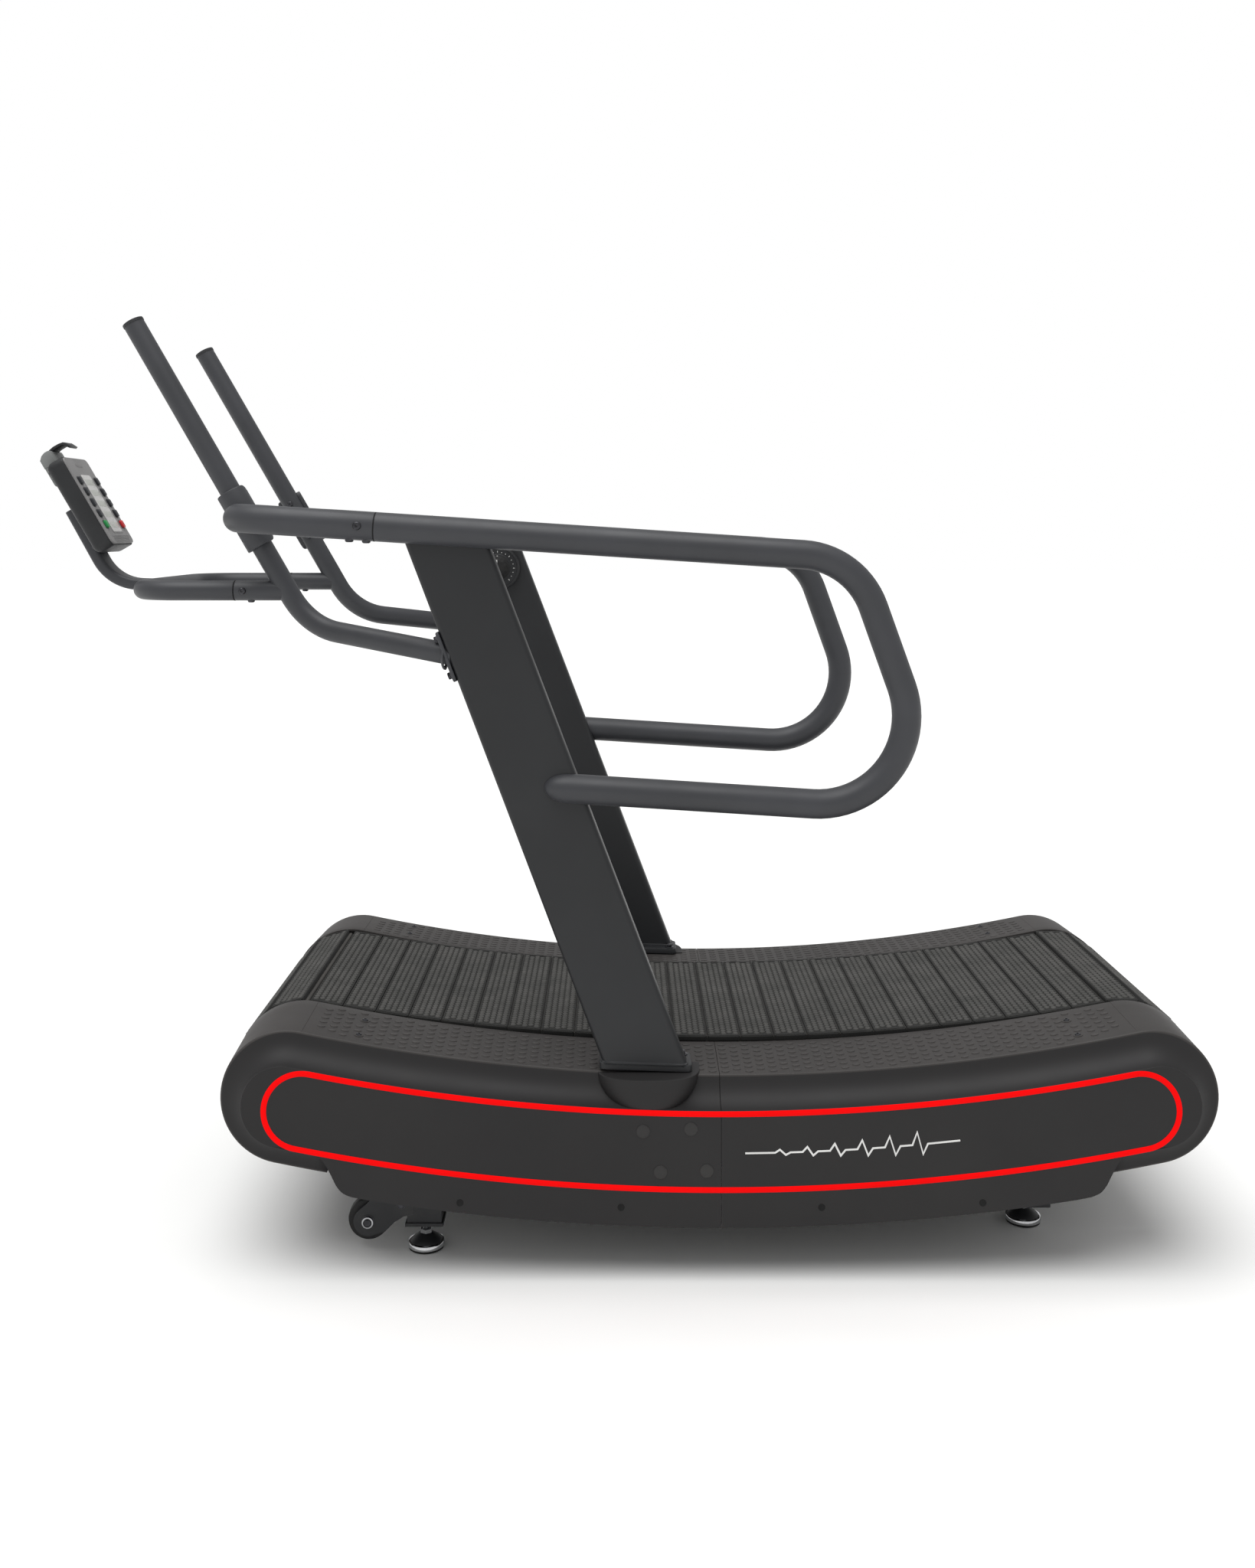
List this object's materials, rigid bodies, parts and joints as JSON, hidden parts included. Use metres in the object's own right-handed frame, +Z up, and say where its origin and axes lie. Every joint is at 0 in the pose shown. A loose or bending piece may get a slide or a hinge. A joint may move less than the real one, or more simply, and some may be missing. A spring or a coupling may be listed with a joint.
{
  "type": "curved manual treadmill",
  "caption": "Runner-driven treadmill with a curved slat belt, side steps, looped handrails on leaning uprights, long push handles and a small console.",
  "frame": {"origin": "centre of the bounding box, on the floor", "axes": "+X towards the rear of the machine (the runner faces -X), +Y to the runner's right, +Z up"},
  "size_m": [2.1539, 0.844, 1.6445],
  "materials": {
    "frame": "satin powder coat",
    "cover": "fine texture",
    "slat": "ribbed and nubbed tread",
    "steel": "bright",
    "rubber": "smooth tread",
    "plastic": "satin",
    "panel": "satin",
    "screen": "clear window over the display",
    "green": "satin",
    "red": "satin"
  },
  "bodies": {
    "frame": {"side_cover_front_left": "cover", "side_cover_front_right": "cover", "side_cover_rear_left": "cover", "side_cover_rear_right": "cover", "slat_belt": "slat", "front_bearing_left": "steel", "front_bearing_right": "steel", "rear_bearing_left": "steel", "rear_bearing_right": "steel", "side_frame_left": "frame", "side_frame_right": "frame", "cross_tube_front": "frame", "cross_tube_middle": "frame", "cross_tube_rear": "frame", "roller_rail_left": "frame", "roller_rail_right": "frame", "upright_left": "frame", "upright_right": "frame", "handrail_left": "frame", "handrail_right": "frame", "front_rail_left": "frame", "front_rail_right": "frame", "push_handle_left": "frame", "push_handle_right": "frame", "console_loop": "frame", "console_arm": "frame", "console_housing": "plastic", "console_panel": "panel", "console_screen": "screen", "dial_housing": "plastic", "wheel_bracket_left": "frame", "wheel_bracket_right": "frame"},
    "front_drum": {"front_drum_shaft": "steel", "front_pulley_left": "frame", "front_pulley_right": "frame", "brake_disc": "steel"},
    "rear_drum": {"rear_drum_shaft": "steel", "rear_pulley_left": "frame", "rear_pulley_right": "frame"},
    "transport_wheel_left": {"transport_wheel_left": "rubber"},
    "transport_wheel_right": {"transport_wheel_right": "rubber"},
    "foot_front_left": {"foot_front_left": "steel"},
    "foot_front_right": {"foot_front_right": "steel"},
    "foot_rear_left": {"foot_rear_left": "steel"},
    "foot_rear_right": {"foot_rear_right": "steel"},
    "resistance_knob": {"resistance_knob": "plastic"},
    "magnet_yoke": {"magnet_yoke": "frame"},
    "phone_holder": {"phone_holder": "panel"},
    "button_left_1": {"button_left_1": "plastic"},
    "button_left_2": {"button_left_2": "plastic"},
    "button_left_3": {"button_left_3": "plastic"},
    "button_left_4": {"button_left_4": "plastic"},
    "button_left_5": {"button_left_5": "green"},
    "button_right_1": {"button_right_1": "plastic"},
    "button_right_2": {"button_right_2": "plastic"},
    "button_right_3": {"button_right_3": "plastic"},
    "button_right_4": {"button_right_4": "plastic"},
    "button_right_5": {"button_right_5": "red"}
  },
  "joints": [
    {"name": "front_drum_spin", "type": "hinge", "parent": "frame", "child": "front_drum", "pos_m": [-0.5193, 0, 0.292], "axis": [0, 1, 0], "continuous": true},
    {"name": "rear_drum_spin", "type": "hinge", "parent": "frame", "child": "rear_drum", "pos_m": [0.9567, 0, 0.292], "axis": [0, 1, 0], "continuous": true},
    {"name": "transport_wheel_left_spin", "type": "hinge", "parent": "frame", "child": "transport_wheel_left", "pos_m": [-0.3893, -0.308, 0.057], "axis": [0, 1, 0], "continuous": true},
    {"name": "transport_wheel_right_spin", "type": "hinge", "parent": "frame", "child": "transport_wheel_right", "pos_m": [-0.3893, 0.308, 0.057], "axis": [0, 1, 0], "continuous": true},
    {"name": "foot_front_left_level", "type": "slide", "parent": "frame", "child": "foot_front_left", "axis": [0, 0, 1], "range_m": [-0.015, 0]},
    {"name": "foot_front_right_level", "type": "slide", "parent": "frame", "child": "foot_front_right", "axis": [0, 0, 1], "range_m": [-0.015, 0]},
    {"name": "foot_rear_left_level", "type": "slide", "parent": "frame", "child": "foot_rear_left", "axis": [0, 0, 1], "range_m": [-0.015, 0]},
    {"name": "foot_rear_right_level", "type": "slide", "parent": "frame", "child": "foot_rear_right", "axis": [0, 0, 1], "range_m": [-0.015, 0]},
    {"name": "resistance_knob_turn", "type": "hinge", "parent": "frame", "child": "resistance_knob", "pos_m": [-0.21755, 0.308, 1.175], "axis": [0, 1, 0], "range_deg": [0, 270]},
    {"name": "magnet_yoke_swing", "type": "hinge", "parent": "frame", "child": "magnet_yoke", "pos_m": [-0.4033, 0.243, 0.292], "axis": [0, 1, 0], "range_deg": [0, 27]},
    {"name": "button_left_1_press", "type": "slide", "parent": "frame", "child": "button_left_1", "axis": [-0.8616, 0, -0.5075], "range_m": [0, 0.0018], "stiffness_N_per_m": 400},
    {"name": "button_left_2_press", "type": "slide", "parent": "frame", "child": "button_left_2", "axis": [-0.8616, 0, -0.5075], "range_m": [0, 0.0018], "stiffness_N_per_m": 400},
    {"name": "button_left_3_press", "type": "slide", "parent": "frame", "child": "button_left_3", "axis": [-0.8616, 0, -0.5075], "range_m": [0, 0.0018], "stiffness_N_per_m": 400},
    {"name": "button_left_4_press", "type": "slide", "parent": "frame", "child": "button_left_4", "axis": [-0.8616, 0, -0.5075], "range_m": [0, 0.0018], "stiffness_N_per_m": 400},
    {"name": "button_left_5_press", "type": "slide", "parent": "frame", "child": "button_left_5", "axis": [-0.8616, 0, -0.5075], "range_m": [0, 0.0018], "stiffness_N_per_m": 400},
    {"name": "button_right_1_press", "type": "slide", "parent": "frame", "child": "button_right_1", "axis": [-0.8616, 0, -0.5075], "range_m": [0, 0.0018], "stiffness_N_per_m": 400},
    {"name": "button_right_2_press", "type": "slide", "parent": "frame", "child": "button_right_2", "axis": [-0.8616, 0, -0.5075], "range_m": [0, 0.0018], "stiffness_N_per_m": 400},
    {"name": "button_right_3_press", "type": "slide", "parent": "frame", "child": "button_right_3", "axis": [-0.8616, 0, -0.5075], "range_m": [0, 0.0018], "stiffness_N_per_m": 400},
    {"name": "button_right_4_press", "type": "slide", "parent": "frame", "child": "button_right_4", "axis": [-0.8616, 0, -0.5075], "range_m": [0, 0.0018], "stiffness_N_per_m": 400},
    {"name": "button_right_5_press", "type": "slide", "parent": "frame", "child": "button_right_5", "axis": [-0.8616, 0, -0.5075], "range_m": [0, 0.0018], "stiffness_N_per_m": 400},
    {"name": "phone_holder_pull", "type": "slide", "parent": "frame", "child": "phone_holder", "axis": [-0.5075, 0, 0.8616], "range_m": [0, 0.035], "stiffness_N_per_m": 60}
  ],
  "couplings": [
    {"joint": "rear_drum_spin", "follows": "front_drum_spin", "ratio": 1},
    {"joint": "magnet_yoke_swing", "follows": "resistance_knob_turn", "ratio": 0.1}
  ]
}
